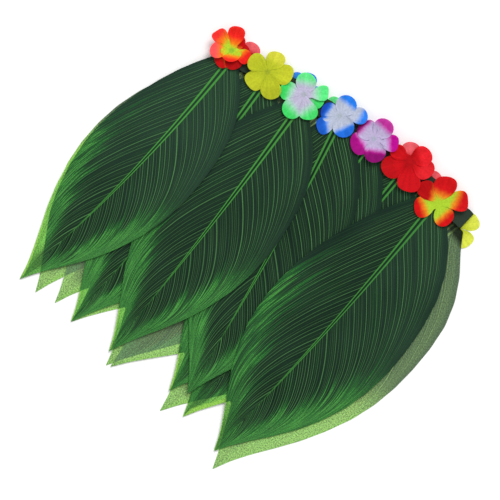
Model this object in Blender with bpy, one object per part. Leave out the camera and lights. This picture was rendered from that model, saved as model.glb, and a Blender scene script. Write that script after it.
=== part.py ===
"""Ti leaf skirt, laid flat with its front up.

A ribbon band is sewn into a loop that goes round the waist. Seven printed cloth leaves are sewn side by
side to the outside of its front half and seven to its back half, each with a cloth blossom over its sewn
end. Laid down, the loop is flat: from the surface up lie the back blossoms, the back leaves, the back run
of the band, its front run, the front leaves and the front blossoms, and every layer rests on those below.

Metres. X runs along the waist, +Y points from the leaves' tips to the waist, +Z is up, the surface is Z = 0.
"""

import math
from collections import namedtuple

import bpy
import numpy as np

MM = 0.001

# ---- cloth
WALL = 1.0 * MM            # thickness of every cloth wall
SEAM_GAP = 0.4 * MM        # air left between a layer and the one that it rests on
SHARP_EDGE = math.radians(40)

# ---- waist line and band
WAIST_FLAT = 356 * MM      # length of the flat loop between its two folds
WAIST_RADIUS = 1250 * MM   # the waist line bows away from the leaves
WAIST_AT = (12.2 * MM, 200.6 * MM)   # middle of the waist line, with the origin under the middle of the skirt
BAND_WIDTH = 25 * MM
BAND_CELLS = 24            # cells along each run
FOLD_ROOM = 1.6 * MM       # air inside each end fold
FOLD_SHARES = (1.0, 0.45)  # how much of that air is left at the fold and one cell in
FOLD_STEPS = 4             # cells round each end fold

# ---- leaves
RIB_LIFT = 1.5 * MM        # soft ridge along the midrib of a front leaf
RIB_SPREAD = 0.45          # share of the half width that the ridge takes
LEAF_ACROSS = (-1.0, -0.68, -0.34, 0.0, 0.34, 0.68, 1.0)

CutRow = namedtuple("CutRow", "along left right")
LEAF_CUT = (               # outline of every leaf: share of its length, shares of its half widths
    CutRow(0.00, 0.12, 0.12),
    CutRow(0.04, 0.26, 0.28),
    CutRow(0.09, 0.43, 0.52),
    CutRow(0.15, 0.60, 0.72),
    CutRow(0.22, 0.75, 0.865),
    CutRow(0.30, 0.88, 0.95),
    CutRow(0.38, 0.965, 0.99),
    CutRow(0.46, 1.00, 1.00),
    CutRow(0.54, 0.99, 0.97),
    CutRow(0.62, 0.93, 0.89),
    CutRow(0.70, 0.80, 0.76),
    CutRow(0.77, 0.64, 0.61),
    CutRow(0.84, 0.43, 0.42),
    CutRow(0.90, 0.25, 0.245),
    CutRow(0.95, 0.11, 0.11),
    CutRow(1.00, 0.00, 0.00),
)

# station: place along the waist line from its middle; lift: how far outside that line the leaf starts;
# lean: degrees that it leans towards +X from straight down; left, right: widest half widths, from above;
# bow: how far its midrib bows to the left; belly: how far down its widest part is moved, in hundredths of
# its length. Millimetres and degrees, each table in the order of laying.
Leaf = namedtuple("Leaf", "name station lift lean length left right bow belly")
BACK_LEAVES = (
    Leaf("leaf_back_1", -146, -3, -7.8, 372, 77, 60, 6, 0),
    Leaf("leaf_back_2", -91, -1, -11.9, 381, 72, 60, 5, 0),
    Leaf("leaf_back_3", -35, -1, -15.4, 397, 70, 64, -3, 0),
    Leaf("leaf_back_4", 8, 0, -11.8, 412, 83, 75, -2, 0),
    Leaf("leaf_back_5", 61, 2, -18.2, 423, 73, 72, -4, 0),
    Leaf("leaf_back_6", 112, -3, -14.4, 416, 78, 74, -3, 0),
    Leaf("leaf_back_7", 174, -11, -10.0, 415, 68, 98, 12, 0),
)
FRONT_LEAVES = (
    Leaf("leaf_front_2", -115, 1, -3.9, 381, 74, 74, -6, 0),
    Leaf("leaf_front_6", 83, 4, -6.9, 405, 81, 81, -5, 0),
    Leaf("leaf_front_5", 30, 4, -4.0, 389, 78, 78, -5, 0),
    Leaf("leaf_front_4", -16, 5, 5.9, 382, 76, 76, -5, 2),
    Leaf("leaf_front_3", -65, -8, -2.8, 378, 76, 77, -4, -1),
    Leaf("leaf_front_7", 136, 0, -6.6, 408, 83, 89, -5, 3),
    Leaf("leaf_front_1", -164, 1, -8.8, 372, 68, 70, -9, 0),
)

# ---- blossoms
EYE_RADIUS = 10 * MM       # the petals of a blossom are one cloth inside this circle
RISE_POWER = 1.7           # how a petal rises from the eye to its tip
NOTCH_RISE = 0.3           # share of the petals' rise that the notch between two petals has
EDGE_DROOP = 0.4           # share of its rise that a petal loses at its flanks
PETAL_RAYS = (-0.93, -0.5, 0.0, 0.5, 0.93)   # rays of one petal, as shares of its half opening
FULL_RINGS = (0.3, 0.6, 0.84, 1.0)           # rings of a blossom that lies on top, as shares of its outline
PLAIN_RINGS = (0.4, 0.78, 1.0)               # rings of a blossom that lies below another

# direction: degrees from +X; reach: eye to tip; breadth: across the round end; rise: how far the tip stands
# up. Lengths in millimetres.
Petal = namedtuple("Petal", "direction reach breadth rise")
Blossom = namedtuple("Blossom", "name station lift cloth petals")


def even_petals(first, reach, breadth, rise=0):
    """Five like petals, the first one in the given direction."""
    return tuple(Petal(first + 72 * k, reach, breadth, rise) for k in range(5))


BACK_BLOSSOMS = (
    Blossom("blossom_back_1", -149, 1, "petal_red", even_petals(96, 24, 21)),
    Blossom("blossom_back_2", -70, 0, "petal_blue", (
        Petal(100, 28, 20, 0), Petal(147, 27, 20, 0), Petal(217, 26, 21, 0),
        Petal(287, 26, 21, 0), Petal(31, 26, 21, 0))),
    Blossom("blossom_back_3", -27, -4, "petal_green", even_petals(100, 25, 21)),
    Blossom("blossom_back_4", 12, -1, "petal_magenta", even_petals(126, 24, 21)),
    Blossom("blossom_back_5", 61, 0, "petal_yellow", even_petals(54, 20, 18)),
    Blossom("blossom_back_6", 114, -4, "petal_red", even_petals(72, 25, 21)),
    Blossom("blossom_back_7", 174, -14, "petal_yellow", even_petals(339, 29, 21)),
)
FRONT_BLOSSOMS = (
    Blossom("blossom_front_7", 140, -8, "petal_red_lime", (
        Petal(165, 32, 22, 5), Petal(104, 35, 26, 11), Petal(42, 37, 24, 10),
        Petal(330, 28, 24, 3), Petal(226, 30, 24, 4))),
    Blossom("blossom_front_6_under", 81, 9, "petal_red", (
        Petal(118, 24, 22, 8), Petal(190, 23, 20, 2), Petal(262, 23, 20, 2),
        Petal(334, 23, 20, 2), Petal(46, 23, 20, 2))),
    Blossom("blossom_front_6", 81, 9, "petal_red", (
        Petal(234, 34, 27, 4), Petal(302, 37, 27, 5), Petal(5, 32, 24, 6),
        Petal(55, 28, 24, 10), Petal(178, 26, 18, 8))),
    Blossom("blossom_front_5", 31, 4, "petal_magenta", (
        Petal(82, 28, 24, 12), Petal(21, 30, 20, 9), Petal(309, 28, 25, 10),
        Petal(232, 30, 26, 8), Petal(162, 25, 24, 9))),
    Blossom("blossom_front_4", -18, 3, "petal_blue", (
        Petal(93, 27, 25, 5), Petal(35, 33, 20, 4), Petal(322, 26, 25, 5),
        Petal(246, 31, 20, 3), Petal(198, 24, 22, 3))),
    Blossom("blossom_front_3_under", -68, 1, "petal_green", (
        Petal(10, 26, 20, 1), Petal(82, 16, 16, 1), Petal(154, 17, 16, 1),
        Petal(226, 17, 16, 1), Petal(298, 17, 16, 1))),
    Blossom("blossom_front_3", -68, 1, "petal_green", (
        Petal(113, 26, 24, 5), Petal(38, 30, 18, 4), Petal(319, 32, 22, 3),
        Petal(265, 33, 24, 3), Petal(202, 29, 22, 3))),
    Blossom("blossom_front_1_under", -169, 4, "petal_red_orange", (
        Petal(257, 25, 20, 2), Petal(316, 23, 20, 2), Petal(25, 22, 20, 1),
        Petal(95, 22, 20, 2), Petal(175, 22, 20, 2))),
    Blossom("blossom_front_1", -169, 4, "petal_red_orange", (
        Petal(163, 30, 18, 12), Petal(108, 29, 20, 12), Petal(213, 26, 19, 10),
        Petal(293, 14, 24, 8), Petal(10, 25, 17, 5))),
    Blossom("blossom_front_2", -119, 2, "petal_yellow", (
        Petal(92, 28, 22, 4), Petal(175, 28, 22, 3), Petal(249, 30, 23, 3),
        Petal(314, 33, 24, 3), Petal(25, 31, 24, 3))),
)

Cloth = namedtuple("Cloth", "name colour roughness")
CLOTHS = (
    Cloth("leaf_cloth", (0.032, 0.110, 0.035), 0.75),
    Cloth("band_ribbon", (0.020, 0.035, 0.020), 0.80),
    Cloth("petal_red_orange", (0.850, 0.060, 0.020), 0.60),
    Cloth("petal_yellow", (0.620, 0.640, 0.035), 0.60),
    Cloth("petal_green", (0.200, 0.760, 0.230), 0.60),
    Cloth("petal_blue", (0.110, 0.260, 0.800), 0.60),
    Cloth("petal_magenta", (0.520, 0.040, 0.420), 0.60),
    Cloth("petal_red", (0.700, 0.012, 0.018), 0.60),
    Cloth("petal_red_lime", (0.640, 0.100, 0.020), 0.60),
)

# ---- laying down
PILE_STEP = 1.3 * MM       # spacing of the net that holds the height of what lies below
PILE_SPREAD = 2            # net points that a layer's height reaches past the layer
PILE_LOW = (-330 * MM, -260 * MM)
PILE_HIGH = (330 * MM, 260 * MM)
SETTLE_ROUNDS = 120
FIRM_ROUNDS = 50           # last rounds, in which a layer is only pushed up
SLACK = 0.3                # how much a point follows its neighbours in a round
SINK = 0.08 * MM           # how far a layer sinks in a round where nothing holds it
SLIVER = 1e-9              # twice the area, in net cells, under which a triangle covers nothing
EDGE_SHARE = 1e-3          # how far outside a triangle a net point still counts as under it


# ================================================================ places

def on_waist(station, lift):
    """Point at a distance along the waist line from its middle, and a distance outside it."""
    angle = station / WAIST_RADIUS
    radius = WAIST_RADIUS + lift
    x = WAIST_AT[0] + radius * math.sin(angle)
    y = WAIST_AT[1] + radius * math.cos(angle) - WAIST_RADIUS
    return np.array((x, y))


def row_of_faces(first, second, columns):
    """Two triangles for each cell between two rows of points, which start at the given numbers."""
    faces = []
    for k in range(columns - 1):
        a, b, c, d = first + k, first + k + 1, second + k + 1, second + k
        faces += [(a, b, c), (a, c, d)]
    return faces


# ================================================================ sheets: points in plan, faces and rim

Sheet = namedtuple("Sheet", "plan faces rim form")


def leaf_spread(leaf, along, side):
    """Half width of a leaf at a share of its length, on its left or right side."""
    place = along - leaf.belly / 100 * math.sin(math.pi * along)
    shares = [getattr(row, side) for row in LEAF_CUT]
    return getattr(leaf, side) * MM * np.interp(place, [row.along for row in LEAF_CUT], shares)


def leaf_sheet(leaf, ridged):
    """Plan of a leaf from its sewn end to its tip. Its faces look up, its rim runs counter-clockwise."""
    lean = math.radians(leaf.lean)
    base = on_waist(leaf.station * MM, leaf.lift * MM)
    down = np.array((math.sin(lean), -math.cos(lean)))
    left = np.array((-math.cos(lean), -math.sin(lean)))
    length, bow = leaf.length * MM, leaf.bow * MM
    plan, form = [], []
    for along in (row.along for row in LEAF_CUT):
        rib = base + down * length * along + left * 4 * bow * along * (1 - along)
        run = down + left * 4 * bow * (1 - 2 * along) / length
        to_left = np.array((run[1], -run[0])) / np.linalg.norm(run)
        for across in LEAF_ACROSS if along < 1 else (0.0,):
            half = leaf_spread(leaf, along, "left" if across < 0 else "right")
            plan.append(rib - to_left * across * half)
            ridge = max(0.0, 1 - (across / RIB_SPREAD) ** 2) if ridged else 0.0
            form.append(RIB_LIFT * ridge * math.sin(math.pi * along))
    columns, rows = len(LEAF_ACROSS), len(LEAF_CUT) - 1
    tip = columns * rows
    faces = []
    for k in range(rows - 1):
        faces += row_of_faces((k + 1) * columns, k * columns, columns)
    last = tip - columns
    faces += [(tip, last + k + 1, last + k) for k in range(columns - 1)]
    left_side = [k * columns for k in range(rows)]
    right_side = [k * columns + columns - 1 for k in range(rows)]
    top_side = list(range(columns - 2, 0, -1))
    rim = left_side + [tip] + right_side[::-1] + top_side
    return Sheet(np.array(plan), faces, rim, np.array(form))


def petal_edge(petal, off_axis):
    """Radius of a petal's outline at an angle off its axis, or None outside it. Its end is round."""
    ball = petal.breadth / 2 * MM
    centre = petal.reach * MM - ball
    inside = ball**2 - (centre * math.sin(off_axis))**2
    if inside < 0 or abs(off_axis) > math.pi / 2:
        return None
    return centre * math.cos(off_axis) + math.sqrt(inside)


def blossom_rays(petals):
    """Rays of a blossom, counter-clockwise: angle, radius of the outline and rise at that radius."""
    petals = sorted(petals, key=lambda petal: petal.direction % 360)
    rays = []
    for before, petal, after in zip(petals[-1:] + petals[:-1], petals, petals[1:] + petals[:1]):
        axis = math.radians(petal.direction % 360)
        half_gap_before = math.radians((petal.direction - before.direction) % 360) / 2
        half_gap = math.radians((after.direction - petal.direction) % 360) / 2
        ball = petal.breadth / 2
        flank = math.asin(min(1.0, ball / max(ball, petal.reach - ball)))
        for share in PETAL_RAYS:
            off = share * min(flank, half_gap if share > 0 else half_gap_before)
            rise = petal.rise * MM * (1 - EDGE_DROOP * share**2)
            rays.append((axis + off, petal_edge(petal, off), rise))
        notch = max(EYE_RADIUS, petal_edge(petal, half_gap) or 0.0, petal_edge(after, -half_gap) or 0.0)
        rays.append((axis + half_gap, notch, NOTCH_RISE * (petal.rise + after.rise) / 2 * MM))
    return rays


def blossom_sheet(blossom, rings):
    """Plan of a blossom: an eye point and rings that follow its lobed outline."""
    centre = on_waist(blossom.station * MM, blossom.lift * MM)
    rays = blossom_rays(blossom.petals)
    plan, form = [centre], [0.0]
    for ring in rings:
        for angle, edge, rise in rays:
            plan.append(centre + ring * edge * np.array((math.cos(angle), math.sin(angle))))
            form.append(rise * ring**RISE_POWER)
    count = len(rays)
    faces = [(0, 1 + k, 1 + (k + 1) % count) for k in range(count)]
    for ring in range(len(rings) - 1):
        inner, outer = 1 + ring * count, 1 + (ring + 1) * count
        for k in range(count):
            n = (k + 1) % count
            faces += [(inner + k, outer + k, outer + n), (inner + k, outer + n, inner + n)]
    rim = [1 + (len(rings) - 1) * count + k for k in range(count)]
    return Sheet(np.array(plan), faces, rim, np.array(form))


def band_run_sheet():
    """Plan of one run of the band, a little past both folds: its hem side and outer side at each station."""
    overrun = FOLD_ROOM / 2 + WALL
    stations = np.linspace(-WAIST_FLAT / 2 - overrun, WAIST_FLAT / 2 + overrun, BAND_CELLS + 1)
    plan = [on_waist(s, lift) for s in stations for lift in (-BAND_WIDTH / 2, BAND_WIDTH / 2)]
    faces = []
    for k in range(BAND_CELLS):
        a, b, c, d = 2 * k, 2 * k + 2, 2 * k + 3, 2 * k + 1
        faces += [(a, b, c), (a, c, d)]
    return Sheet(np.array(plan), faces, [], np.zeros(len(plan)))


# ================================================================ laying down

class Pile:
    """Height of what already lies on the surface, held on a square net."""

    def __init__(self):
        self.low = np.array(PILE_LOW)
        size = np.ceil((np.array(PILE_HIGH) - self.low) / PILE_STEP).astype(int)
        self.height = np.zeros(size)

    def cover(self, plan, faces):
        """Net points under a sheet, with the corners of the triangle over each and those corners' shares."""
        cells, corners, shares = [], [], []
        for face in faces:
            a, b, c = ((plan[k] - self.low) / PILE_STEP for k in face)
            double = (b[0] - a[0]) * (c[1] - a[1]) - (b[1] - a[1]) * (c[0] - a[0])
            if abs(double) < SLIVER:
                continue
            first = np.maximum(np.floor(np.minimum(np.minimum(a, b), c)).astype(int), 0)
            last = np.ceil(np.maximum(np.maximum(a, b), c)).astype(int) + 1
            x, y = np.meshgrid(np.arange(first[0], last[0]), np.arange(first[1], last[1]), indexing="ij")
            share_b = ((x - a[0]) * (c[1] - a[1]) - (y - a[1]) * (c[0] - a[0])) / double
            share_c = ((b[0] - a[0]) * (y - a[1]) - (b[1] - a[1]) * (x - a[0])) / double
            share_a = 1 - share_b - share_c
            over = np.minimum(np.minimum(share_a, share_b), share_c) > -EDGE_SHARE
            cells.append(x[over] * self.height.shape[1] + y[over])
            shares.append(np.stack((share_a[over], share_b[over], share_c[over]), axis=1))
            corners.append(np.tile(face, (int(over.sum()), 1)))
        return np.concatenate(cells), np.concatenate(corners), np.concatenate(shares)

    def feel(self, sheet):
        """As cover, with the corners and the middle of each side of every triangle as well."""
        cells, corners, shares = ([part] for part in self.cover(sheet.plan, sheet.faces))
        faces = np.array(sheet.faces)
        for share in ((1, 0, 0), (0, 1, 0), (0, 0, 1), (0.5, 0.5, 0), (0, 0.5, 0.5), (0.5, 0, 0.5)):
            spots = np.einsum("k,fkd->fd", share, sheet.plan[faces])
            near = np.rint((spots - self.low) / PILE_STEP).astype(int)
            cells.append(near[:, 0] * self.height.shape[1] + near[:, 1])
            corners.append(faces)
            shares.append(np.tile(share, (len(faces), 1)))
        return np.concatenate(cells), np.concatenate(corners), np.concatenate(shares)

    def settle(self, sheet):
        """Heights at which a sheet's points come to rest on the pile."""
        cell, corner, share = self.feel(sheet)
        below = self.height.flat[cell]
        need = below + np.where(below > 0, SEAM_GAP, 0) - (share * sheet.form[corner]).sum(axis=1)
        felt = need > 0
        corner, share, need = corner[felt], share[felt], need[felt]
        push_share = share / (share**2).sum(axis=1, keepdims=True)
        faces = np.array(sheet.faces)
        edges = np.unique(np.sort(np.concatenate((faces[:, :2], faces[:, 1:], faces[:, ::2]))), axis=0)
        count = np.bincount(edges.ravel(), minlength=len(sheet.plan))
        rest = np.zeros(len(sheet.plan))
        for turn in range(SETTLE_ROUNDS):
            if turn < SETTLE_ROUNDS - FIRM_ROUNDS:
                around = np.zeros(len(rest))
                np.add.at(around, edges[:, 0], rest[edges[:, 1]])
                np.add.at(around, edges[:, 1], rest[edges[:, 0]])
                rest = np.maximum(rest + SLACK * (around / count - rest) - SINK, 0)
            short = np.maximum(need - (share * rest[corner]).sum(axis=1), 0)
            lift = np.zeros(len(rest))
            np.maximum.at(lift, corner.ravel(), (short[:, None] * push_share).ravel())
            rest += lift
        short = np.maximum(need - (share * rest[corner]).sum(axis=1), 0)
        lift = np.zeros(len(rest))
        np.maximum.at(lift, corner.ravel(), np.repeat(short, 3))
        return rest + lift + sheet.form

    def add(self, points, faces):
        """Lays a sheet's upper face on the pile. Each net point takes the highest of those close to it."""
        cell, corner, share = self.cover(points[:, :2], faces)
        layer = np.zeros(self.height.shape)
        np.maximum.at(layer.reshape(-1), cell, (share * points[:, 2][corner]).sum(axis=1))
        for axis in (0, 1):
            shifts = [np.roll(layer, shift, axis=axis) for shift in range(-PILE_SPREAD, PILE_SPREAD + 1)]
            layer = np.maximum.reduce(shifts)
        self.height = np.maximum(self.height, layer)


# ================================================================ solids

def new_object(name, points, faces, cloth):
    """A closed solid with its own material, smooth on its broad faces and sharp at its cut edges."""
    mesh = bpy.data.meshes.new(name)
    mesh.from_pydata([tuple(p) for p in points], [], faces)
    mesh.validate()
    mesh.update()
    mesh.shade_smooth()
    mesh.set_sharp_from_angle(angle=SHARP_EDGE)
    material = bpy.data.materials.new(name)
    material.use_nodes = True
    shader = material.node_tree.nodes["Principled BSDF"]
    shader.inputs["Base Color"].default_value = (*cloth.colour, 1)
    shader.inputs["Roughness"].default_value = cloth.roughness
    shader.inputs["Metallic"].default_value = 0
    mesh.materials.append(material)
    thing = bpy.data.objects.new(name, mesh)
    bpy.context.scene.collection.objects.link(thing)
    return thing


def upward(points, faces):
    """Unit normal of a sheet at each of its points."""
    normal = np.zeros(points.shape)
    for a, b, c in faces:
        facing = np.cross(points[b] - points[a], points[c] - points[a])
        for k in (a, b, c):
            normal[k] += facing
    return normal / np.linalg.norm(normal, axis=1, keepdims=True)


def cloth_solid(name, sheet, heights, cloth, pile):
    """A sheet with its wall, as thick where the cloth slopes. The lower face rests on the pile."""
    low = np.column_stack((sheet.plan, heights))
    high = low.copy()
    high[:, 2] += WALL / upward(low, sheet.faces)[:, 2]
    count = len(low)
    faces = [(a + count, b + count, c + count) for a, b, c in sheet.faces]
    faces += [(c, b, a) for a, b, c in sheet.faces]
    for a, b in zip(sheet.rim, sheet.rim[1:] + sheet.rim[:1]):
        faces += [(a, b, b + count), (a, b + count, a + count)]
    pile.add(high, sheet.faces)
    return new_object(name, np.concatenate((low, high)), faces, cloth)


def lay_leaf(leaf, pile, cloth, ridged):
    """Lays one leaf on the pile."""
    sheet = leaf_sheet(leaf, ridged)
    return cloth_solid(leaf.name, sheet, pile.settle(sheet), cloth, pile)


def lay_blossom(blossom, pile, cloth, rings):
    """Lays one blossom on the pile."""
    sheet = blossom_sheet(blossom, rings)
    return cloth_solid(blossom.name, sheet, pile.settle(sheet), cloth, pile)


def run_section(plan, k, inner, outer):
    """Corners of the ribbon at one station of a run: inner and outer face, hem side first."""
    return [(*plan[2 * k + side], z[2 * k + side]) for side in (0, 1) for z in (inner, outer)]


def fold_sections(plan, k, lower, upper, toward):
    """Sections of the half turn at one end, from the lower run up. Toward: 1 on the right, -1 on the left."""
    angle = toward * (WAIST_FLAT / 2) / WAIST_RADIUS
    out = toward * np.array((math.cos(angle), -math.sin(angle)))
    sections = []
    for step in range(1, FOLD_STEPS):
        turn = math.pi * step / FOLD_STEPS
        section = []
        for p in (2 * k, 2 * k + 1):
            middle = (lower[p] + WALL + upper[p]) / 2
            room = (upper[p] - lower[p] - WALL) / 2
            for radius in (room, room + WALL):
                x, y = plan[p] + out * radius * math.sin(turn)
                section.append((x, y, middle - radius * math.cos(turn)))
        sections.append(section)
    return sections


def lay_band(pile, cloth):
    """Lays both runs of the band and joins them with a soft fold at each end, as one closed loop."""
    sheet = band_run_sheet()
    lower = pile.settle(sheet)
    pile.add(np.column_stack((sheet.plan, lower + WALL)), sheet.faces)
    upper = pile.settle(sheet)
    for end, inward in ((0, 1), (BAND_CELLS, -1)):
        for step, share in enumerate(FOLD_SHARES):
            for side in (0, 1):
                k = 2 * (end + inward * step) + side
                upper[k] = max(upper[k], lower[k] + WALL + SEAM_GAP + FOLD_ROOM * share)
    pile.add(np.column_stack((sheet.plan, upper + WALL)), sheet.faces)

    stations = range(BAND_CELLS + 1)
    sections = [run_section(sheet.plan, k, lower + WALL, lower) for k in stations]
    sections += fold_sections(sheet.plan, BAND_CELLS, lower, upper, 1)
    sections += [run_section(sheet.plan, k, upper, upper + WALL) for k in reversed(stations)]
    sections += reversed(fold_sections(sheet.plan, 0, lower, upper, -1))
    points = [p for section in sections for p in section]
    faces = []
    for k in range(len(sections)):
        a, b = 4 * k, 4 * ((k + 1) % len(sections))
        for first, second in ((0, 1), (1, 3), (3, 2), (2, 0)):
            faces += [(a + first, b + second, b + first), (a + first, a + second, b + second)]
    return new_object("waist_band", points, faces, cloth)


def build():
    """Builds the whole skirt, from the surface up."""
    for thing in list(bpy.data.objects):
        bpy.data.objects.remove(thing, do_unlink=True)
    cloths = {cloth.name: cloth for cloth in CLOTHS}
    pile = Pile()
    for blossom in BACK_BLOSSOMS:
        lay_blossom(blossom, pile, cloths[blossom.cloth], PLAIN_RINGS)
    for leaf in BACK_LEAVES:
        lay_leaf(leaf, pile, cloths["leaf_cloth"], ridged=False)
    lay_band(pile, cloths["band_ribbon"])
    for leaf in FRONT_LEAVES:
        lay_leaf(leaf, pile, cloths["leaf_cloth"], ridged=True)
    for blossom in FRONT_BLOSSOMS:
        rings = PLAIN_RINGS if blossom.name.endswith("under") else FULL_RINGS
        lay_blossom(blossom, pile, cloths[blossom.cloth], rings)


build()
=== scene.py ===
import math
from collections import namedtuple
from functools import partial

import bpy
import numpy as np
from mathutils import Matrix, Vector
from mathutils.bvhtree import BVHTree


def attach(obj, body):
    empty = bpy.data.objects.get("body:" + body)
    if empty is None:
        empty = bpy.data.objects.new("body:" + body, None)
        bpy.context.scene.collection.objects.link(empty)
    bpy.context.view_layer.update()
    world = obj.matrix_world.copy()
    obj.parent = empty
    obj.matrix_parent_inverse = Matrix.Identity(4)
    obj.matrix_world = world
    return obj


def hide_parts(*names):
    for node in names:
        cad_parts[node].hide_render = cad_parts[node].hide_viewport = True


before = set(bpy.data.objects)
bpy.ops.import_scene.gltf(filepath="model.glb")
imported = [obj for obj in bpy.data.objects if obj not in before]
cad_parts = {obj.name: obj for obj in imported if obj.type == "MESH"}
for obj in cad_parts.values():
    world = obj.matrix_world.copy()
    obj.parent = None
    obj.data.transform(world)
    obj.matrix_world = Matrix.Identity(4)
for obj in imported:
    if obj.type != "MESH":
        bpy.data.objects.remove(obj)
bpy.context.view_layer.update()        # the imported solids, one body: root

bl_info = {
    "name": "Ti Leaf Skirt",
    "version": (1, 0, 0),
    "blender": (4, 5, 0),
    "location": "View3D > Sidebar > Leaf Skirt",
    "description": "Printed cloth leaves and cloth blossoms on a ribbon band, laid flat",
    "category": "Add Mesh",
}

MM = 0.001
WALL = 1.0 * MM            # wall of the solids, in whose middle each cloth lies

# ================================================================ the garment's own sizes

WAIST_AT = (12.2 * MM, 200.6 * MM)     # middle of the waist line, which lies in a flat arc
WAIST_RADIUS = 1250 * MM
WAIST_FLAT = 356 * MM                  # from fold to fold of the ribbon
BAND_WIDTH = 25 * MM

CutRow = namedtuple("CutRow", "along left right")
LEAF_CUT = (               # outline of every leaf: share of its length, shares of its half widths
    CutRow(0.00, 0.12, 0.12),
    CutRow(0.04, 0.26, 0.28),
    CutRow(0.09, 0.43, 0.52),
    CutRow(0.15, 0.60, 0.72),
    CutRow(0.22, 0.75, 0.865),
    CutRow(0.30, 0.88, 0.95),
    CutRow(0.38, 0.965, 0.99),
    CutRow(0.46, 1.00, 1.00),
    CutRow(0.54, 0.99, 0.97),
    CutRow(0.62, 0.93, 0.89),
    CutRow(0.70, 0.80, 0.76),
    CutRow(0.77, 0.64, 0.61),
    CutRow(0.84, 0.43, 0.42),
    CutRow(0.90, 0.25, 0.245),
    CutRow(0.95, 0.11, 0.11),
    CutRow(1.00, 0.00, 0.00),
)

# station, lift, lean, length, left, right, bow, belly: the leaf's place and cut, in millimetres and degrees.
# glow and lime: strength of the bright green and of the lime margin on each side, as seen from above.
# rests_on: what lies right below it.
Leaf = namedtuple("Leaf", "node station lift lean length left right bow belly "
                          "glow_left glow_right lime_left lime_right rests_on")
BACK_LEAVES = (
    Leaf("leaf_back_1", -146, -3, -7.8, 372, 77, 60, 6, 0, 0.8, 0.9, 0.3, 1.6, "floor"),
    Leaf("leaf_back_2", -91, -1, -11.9, 381, 72, 60, 5, 0, 0.8, 0.9, 0.3, 2.0, "leaf_back_1"),
    Leaf("leaf_back_3", -35, -1, -15.4, 397, 70, 64, -3, 0, 0.8, 0.9, 0.3, 1.6, "leaf_back_2"),
    Leaf("leaf_back_4", 8, 0, -11.8, 412, 83, 75, -2, 0, 0.8, 1.0, 0.6, 1.8, "leaf_back_3"),
    Leaf("leaf_back_5", 61, 2, -18.2, 423, 73, 72, -4, 0, 1.0, 1.3, 0.2, 1.1, "leaf_back_4"),
    Leaf("leaf_back_6", 112, -3, -14.4, 416, 78, 74, -3, 0, 0.9, 1.0, 0.8, 2.0, "leaf_back_5"),
    Leaf("leaf_back_7", 174, -11, -10.0, 415, 68, 98, 12, 0, 0.8, 1.0, 0.3, 0.5, "leaf_back_6"),
)
FRONT_LEAVES = (
    Leaf("leaf_front_2", -115, 1, -3.9, 381, 74, 74, -6, 0, 1.45, 1.45, 0.5, 0.0, "waist_band"),
    Leaf("leaf_front_6", 83, 4, -6.9, 405, 81, 81, -5, 0, 1.0, 1.0, 0.3, 2.2, "waist_band"),
    Leaf("leaf_front_5", 30, 4, -4.0, 389, 78, 78, -5, 0, 1.0, 0.9, 0.9, 0.2, "leaf_front_6"),
    Leaf("leaf_front_4", -16, 5, 5.9, 382, 76, 76, -5, 2, 1.0, 0.9, 0.2, 0.2, "leaf_front_5"),
    Leaf("leaf_front_3", -65, -8, -2.8, 378, 76, 77, -4, -1, 1.0, 0.9, 0.6, 0.1, "leaf_front_4"),
    Leaf("leaf_front_7", 136, 0, -6.6, 408, 83, 89, -5, 3, 0.72, 0.95, 0.3, 0.1, "leaf_front_6"),
    Leaf("leaf_front_1", -164, 1, -8.8, 372, 68, 70, -9, 0, 0.9, 1.0, 1.0, 0.1, "leaf_front_2"),
)

# A soft crease or trough: from one place on a leaf to another, each as share along and share across,
# with its depth and the half width that it fades over in millimetres. A negative depth is a ridge.
Crease = namedtuple("Crease", "node from_along from_across to_along to_across depth spread")
CREASES = (
    Crease("leaf_front_1", 0.10, 0.15, 0.32, 0.85, 0.35, 9),
    Crease("leaf_front_1", 0.52, -0.10, 0.70, -0.80, -0.30, 12),
    Crease("leaf_front_2", 0.66, 0.10, 0.80, 0.60, 0.25, 8),
    Crease("leaf_front_3", 0.20, -0.15, 0.38, -0.75, 0.35, 10),
    Crease("leaf_front_3", 0.58, 0.12, 0.72, 0.75, -0.30, 11),
    Crease("leaf_front_4", 0.30, 0.10, 0.52, 0.80, 0.35, 9),
    Crease("leaf_front_5", 0.24, 0.20, 0.40, 0.90, 0.30, 8),
    Crease("leaf_front_6", 0.70, -0.10, 0.84, -0.60, 0.25, 9),
    Crease("leaf_front_7", 0.26, -0.12, 0.44, -0.80, 0.35, 12),
    Crease("leaf_front_7", 0.50, 0.15, 0.68, 0.85, -0.35, 13),
    Crease("leaf_front_7", 0.12, 0.10, 0.26, 0.70, 0.25, 8),
    Crease("leaf_back_2", 0.62, 0.10, 0.76, 0.70, 0.30, 9),
    Crease("leaf_back_4", 0.64, -0.10, 0.80, -0.60, 0.30, 10),
    Crease("leaf_back_5", 0.60, 0.15, 0.76, 0.75, -0.30, 11),
    Crease("leaf_back_7", 0.30, 0.60, 0.60, 0.92, 0.30, 9),
    Crease("leaf_back_7", 0.66, 0.20, 0.80, 0.75, -0.30, 11),
)

# direction, reach, breadth and rise: the petal's place and cut, in degrees and millimetres.
# start: share of the petal at which its dye sets in; skew: how much further the dye runs in on its
# counter-clockwise flank; then the share of the deeper dye, partly painted shade, and the share of a
# paler tone that is painted light coming through the thin cloth from the floor; curl: rise of the tip.
Petal = namedtuple("Petal", "direction reach breadth rise start skew deep pale curl", defaults=(0, 0, 0, 0))
Blossom = namedtuple("Blossom", "node station lift dye slot petals rests_on")


def like_petals(directions, *values):
    """Petals that differ only in their direction."""
    return tuple(Petal(direction, *values) for direction in directions)


def even_petals(first, reach, breadth, rise=0, start=0.5, deep=0.3, pale=0.4):
    """Five like petals, the first one in the given direction."""
    return like_petals(range(first, first + 360, 72), reach, breadth, rise, start, 0.0, deep, pale, 0.3)


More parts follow.
